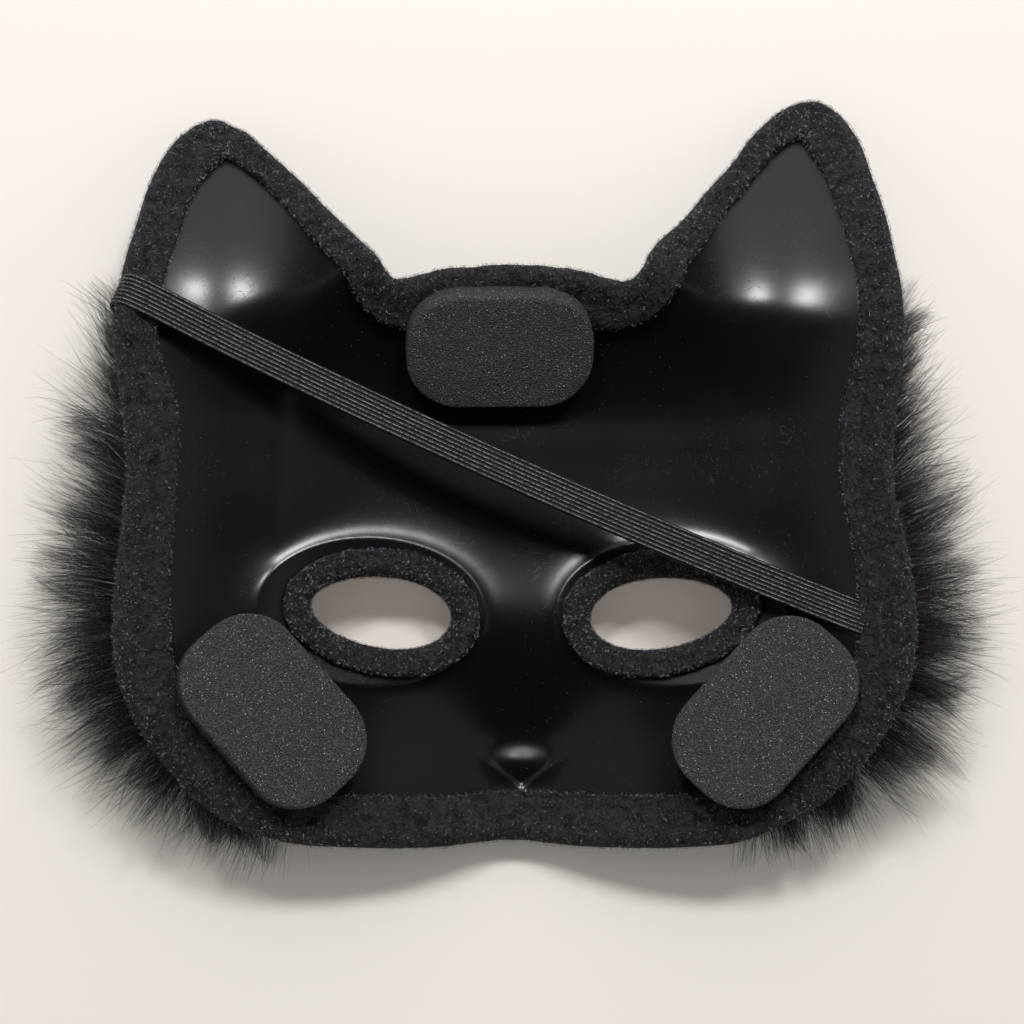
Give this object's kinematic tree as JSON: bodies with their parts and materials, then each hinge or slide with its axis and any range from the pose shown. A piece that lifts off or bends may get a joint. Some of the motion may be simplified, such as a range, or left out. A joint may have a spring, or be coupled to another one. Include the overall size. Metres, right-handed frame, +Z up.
{
  "type": "fox half mask",
  "caption": "Fox-eared half mask lying face down: moulded shell in a felt cover with a rolled hem, foam pads, a ribbed elastic strap and fur on both cheeks.",
  "frame": {"origin": "on the surface the mask lies on, under the middle of its box", "axes": "+X across the mask to the right as seen from the wearer's side, +Y from the chin to the ears, +Z up from the face towards the wearer's side"},
  "size_m": [0.254, 0.1988, 0.0383],
  "materials": {
    "shell": "glossy black moulded plastic with fine swirl scratches",
    "felt": "blue-black wool felt with short loose fibres",
    "foam": "dark warm grey open-cell foam",
    "elastic": "black ribbed flat elastic",
    "fur": "long black pile fur, brown where light passes the tips"
  },
  "bodies": {
    "root": {"mask_shell": "shell", "felt_cover": "felt", "forehead_pad": "foam", "cheek_pad_left": "foam", "cheek_pad_right": "foam", "elastic_strap": "elastic", "fur_left": "fur", "fur_right": "fur"}
  },
  "joints": []
}
